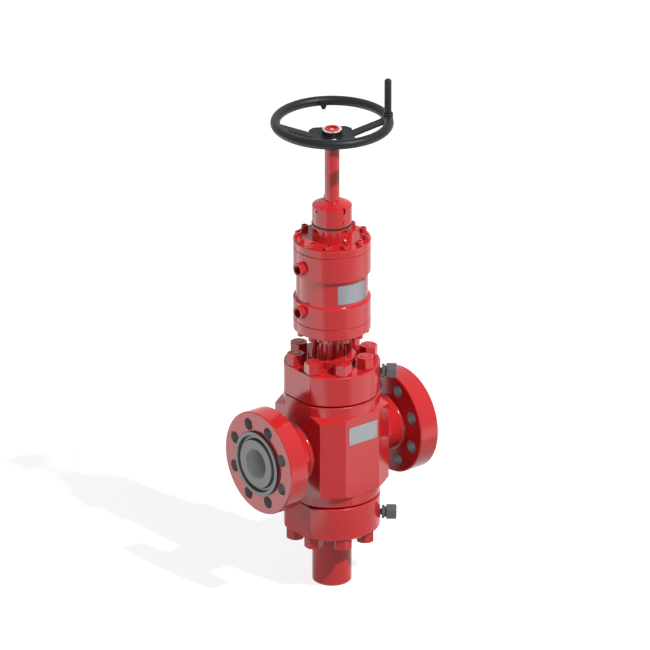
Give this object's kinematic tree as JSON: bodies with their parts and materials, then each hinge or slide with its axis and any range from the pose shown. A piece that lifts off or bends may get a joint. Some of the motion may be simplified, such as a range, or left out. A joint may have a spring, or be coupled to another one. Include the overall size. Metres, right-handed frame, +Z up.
{
  "type": "hydraulic gate valve",
  "caption": "Flanged slab gate valve with a double-acting hydraulic cylinder on its bonnet, a manual override handwheel above it and a balance stem housing below.",
  "frame": {"origin": "where the stem's axis crosses the flow bore's axis, in the middle between the flange faces", "axes": "+X along the flow bore towards the flange on the viewer's right when the plates face them, +Z up the stem towards the cylinder and the handwheel, -Y out of the front face that carries the plates"},
  "size_m": [0.49, 0.3086, 1.356],
  "materials": {
    "red_paint": "gloss enamel over machined and forged steel",
    "black_paint": "satin black paint",
    "bright_zinc": "bright zinc plating",
    "fitting_steel": "plain steel, slightly dulled",
    "plate_steel": "satin stainless steel, blank",
    "machined_steel": "fine machined steel",
    "bronze": "machined bronze",
    "black_rubber": "black nitrile rubber",
    "packing_plastic": "filled PTFE"
  },
  "bodies": {
    "valve": {"valve_body": "red_paint", "seat_ring_left": "machined_steel", "seat_ring_right": "machined_steel", "seat_seals": "black_rubber", "gate_guides": "machined_steel", "upper_bonnet": "red_paint", "upper_bonnet_gasket": "machined_steel", "upper_bonnet_studs": "red_paint", "upper_bonnet_nuts": "red_paint", "upper_packing": "packing_plastic", "packing_gland": "red_paint", "lower_bonnet": "red_paint", "lower_bonnet_gasket": "machined_steel", "lower_bonnet_studs": "red_paint", "lower_bonnet_nuts": "red_paint", "lower_packing": "packing_plastic", "lower_packing_gland": "machined_steel", "tail_housing": "red_paint", "grease_fittings": "fitting_steel", "grease_caps": "fitting_steel", "lower_head": "red_paint", "neck_screws": "red_paint", "lower_rod_seal": "black_rubber", "lower_head_screws": "red_paint", "barrel": "red_paint", "hydraulic_ports": "red_paint", "head_seals": "black_rubber", "upper_head": "red_paint", "upper_rod_seal": "black_rubber", "upper_head_screws": "red_paint", "override_housing": "red_paint", "lock_ring": "red_paint", "cap_seal_ring": "black_rubber", "override_cap": "red_paint", "cap_set_screw": "red_paint", "rod_wiper": "black_rubber", "grease_nipples": "fitting_steel", "thrust_washers": "machined_steel", "thrust_cages": "bronze", "body_plate": "plate_steel", "barrel_plate": "plate_steel", "plate_screws": "plate_steel"},
    "stem": {"gate": "machined_steel", "upper_stem": "machined_steel", "balance_stem": "machined_steel", "piston": "machined_steel", "piston_seal": "black_rubber", "piston_nut": "machined_steel"},
    "wheel": {"override_rod": "red_paint", "collar_washers": "machined_steel", "wheel_key": "machined_steel", "wheel_hub": "black_paint", "wheel_spider": "black_paint", "wheel_rim": "black_paint", "retaining_ring": "bright_zinc", "handle_spindle": "machined_steel"},
    "handle": {"handle_grip": "black_paint"}
  },
  "joints": [
    {"name": "wheel_turn", "type": "hinge", "parent": "valve", "child": "wheel", "pos_m": [0, 0, 0.829], "axis": [0, 0, 1], "range_deg": [-1238, 0]},
    {"name": "stem_stroke", "type": "slide", "parent": "valve", "child": "stem", "axis": [0, 0, 1], "range_m": [-0.086, 0]},
    {"name": "handle_spin", "type": "hinge", "parent": "wheel", "child": "handle", "pos_m": [0.12538, -0.06667, 0.93], "axis": [0, 0, 1], "continuous": true}
  ],
  "couplings": [
    {"joint": "stem_stroke", "follows": "wheel_turn", "m_per_rad": 0.0039789}
  ]
}
